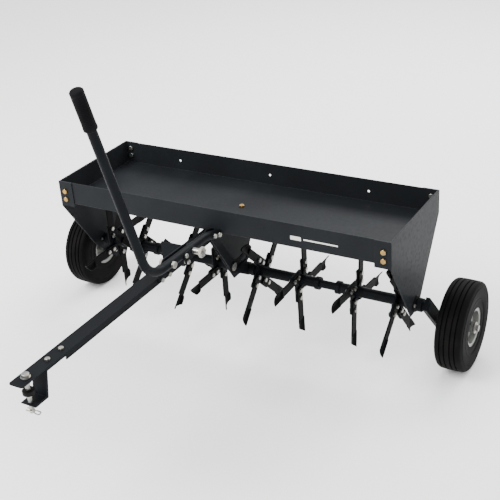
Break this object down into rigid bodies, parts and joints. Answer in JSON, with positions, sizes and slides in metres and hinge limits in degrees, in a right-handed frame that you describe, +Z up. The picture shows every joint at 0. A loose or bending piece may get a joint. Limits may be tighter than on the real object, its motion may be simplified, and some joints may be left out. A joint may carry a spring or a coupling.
{
  "type": "tow-behind plug aerator",
  "caption": "Tow-behind lawn plug aerator: weight tray on end plates over tine reels, pneumatic wheels on a cranked axle, lift handle and pin hitch.",
  "frame": {"origin": "on the ground, under the middle of the whole machine's outer box, with the wheels down in transport", "axes": "+X across the machine to its right as seen from the drawbar's nose, +Y to the rear, +Z up; the drawbar points to -Y"},
  "size_m": [1.476, 1.275, 1.0723],
  "materials": {
    "tray_black": "satin powder coat",
    "frame_black": "satin powder coat",
    "tine_black": "semi-gloss powder coat",
    "bright_zinc": "bright zinc plate",
    "yellow_zinc": "yellow zinc plate",
    "nylon_black": "moulded nylon",
    "grip_rubber": "soft matte",
    "tyre_rubber": "moulded rubber",
    "rim_silver": "silver paint"
  },
  "bodies": {
    "frame": {"weight_tray": "tray_black", "left_end_plate": "tray_black", "right_end_plate": "tray_black", "center_hanger": "frame_black", "shaft_bearings": "nylon_black", "bearing_bolts": "bright_zinc", "tray_front_bolts": "yellow_zinc", "tray_rear_bolts": "bright_zinc", "hanger_floor_bolt": "yellow_zinc", "drawbar": "frame_black", "drawbar_bolts": "bright_zinc", "hitch_strap": "frame_black", "hitch_bolts": "bright_zinc", "handle_bracket": "frame_black", "handle_bracket_bolts": "bright_zinc", "handle_pivot_bolt": "bright_zinc", "side_bracket": "frame_black"},
    "axle": {"axle_shaft": "frame_black", "crank_lever": "frame_black", "crank_pin": "bright_zinc", "left_crank_arm": "frame_black", "right_crank_arm": "frame_black", "wheel_spindles": "bright_zinc", "wheel_retainers": "bright_zinc", "shaft_collars": "frame_black"},
    "left_wheel": {"left_tyre": "tyre_rubber", "left_rim": "rim_silver", "left_wheel_bushes": "nylon_black"},
    "right_wheel": {"right_tyre": "tyre_rubber", "right_rim": "rim_silver", "right_wheel_bushes": "nylon_black"},
    "lift_handle": {"lift_handle_tube": "frame_black", "handle_grip": "grip_rubber", "cam_plate": "frame_black", "cam_plate_bolts": "bright_zinc", "latch_bracket": "frame_black", "latch_bracket_bolts": "bright_zinc", "latch_housing": "bright_zinc", "latch_spring": "bright_zinc"},
    "latch": {"latch_pin": "bright_zinc"},
    "hitch_pin": {"hitch_pin": "bright_zinc", "hitch_pin_hardware": "bright_zinc", "hitch_collar": "nylon_black"},
    "hairpin_clip": {"hairpin_clip": "bright_zinc"},
    "outer_left_reel": {"outer_left_reel_sleeve": "frame_black", "outer_left_reel_star_plates": "frame_black", "outer_left_reel_tines": "tine_black", "outer_left_reel_bolts": "bright_zinc"},
    "inner_left_reel": {"inner_left_reel_sleeve": "frame_black", "inner_left_reel_star_plates": "frame_black", "inner_left_reel_tines": "tine_black", "inner_left_reel_bolts": "bright_zinc"},
    "inner_right_reel": {"inner_right_reel_sleeve": "frame_black", "inner_right_reel_star_plates": "frame_black", "inner_right_reel_tines": "tine_black", "inner_right_reel_bolts": "bright_zinc"},
    "outer_right_reel": {"outer_right_reel_sleeve": "frame_black", "outer_right_reel_star_plates": "frame_black", "outer_right_reel_tines": "tine_black", "outer_right_reel_bolts": "bright_zinc"}
  },
  "joints": [
    {"name": "axle_lift", "type": "hinge", "parent": "frame", "child": "axle", "pos_m": [0, 0.40951, 0.23434], "axis": [1, 0, 0], "range_deg": [0, 60]},
    {"name": "handle_swing", "type": "hinge", "parent": "frame", "child": "lift_handle", "pos_m": [0, -0.04049, 0.48109], "axis": [1, 0, 0], "range_deg": [-17.4, 0]},
    {"name": "latch_pull", "type": "slide", "parent": "lift_handle", "child": "latch", "axis": [1, 0, 0], "range_m": [0, 0.009], "stiffness_N_per_m": 400, "springref_m": -0.008},
    {"name": "left_wheel_spin", "type": "hinge", "parent": "axle", "child": "left_wheel", "pos_m": [-0.686, 0.49749, 0.14], "axis": [1, 0, 0], "continuous": true},
    {"name": "right_wheel_spin", "type": "hinge", "parent": "axle", "child": "right_wheel", "pos_m": [0.686, 0.49749, 0.14], "axis": [1, 0, 0], "continuous": true},
    {"name": "hitch_pin_turn", "type": "hinge", "parent": "frame", "child": "hitch_pin", "pos_m": [-0.013, -0.59949, 0.37784], "axis": [0, 0, 1], "continuous": true},
    {"name": "clip_pull", "type": "slide", "parent": "hitch_pin", "child": "hairpin_clip", "axis": [1, 0, 0], "range_m": [0, 0.03]},
    {"name": "outer_left_reel_spin", "type": "hinge", "parent": "frame", "child": "outer_left_reel", "pos_m": [0, 0.40951, 0.23434], "axis": [1, 0, 0], "continuous": true},
    {"name": "inner_left_reel_spin", "type": "hinge", "parent": "frame", "child": "inner_left_reel", "pos_m": [0, 0.40951, 0.23434], "axis": [1, 0, 0], "continuous": true},
    {"name": "inner_right_reel_spin", "type": "hinge", "parent": "frame", "child": "inner_right_reel", "pos_m": [0, 0.40951, 0.23434], "axis": [1, 0, 0], "continuous": true},
    {"name": "outer_right_reel_spin", "type": "hinge", "parent": "frame", "child": "outer_right_reel", "pos_m": [0, 0.40951, 0.23434], "axis": [1, 0, 0], "continuous": true}
  ],
  "couplings": [
    {"joint": "handle_swing", "follows": "axle_lift", "ratio": -0.29}
  ]
}
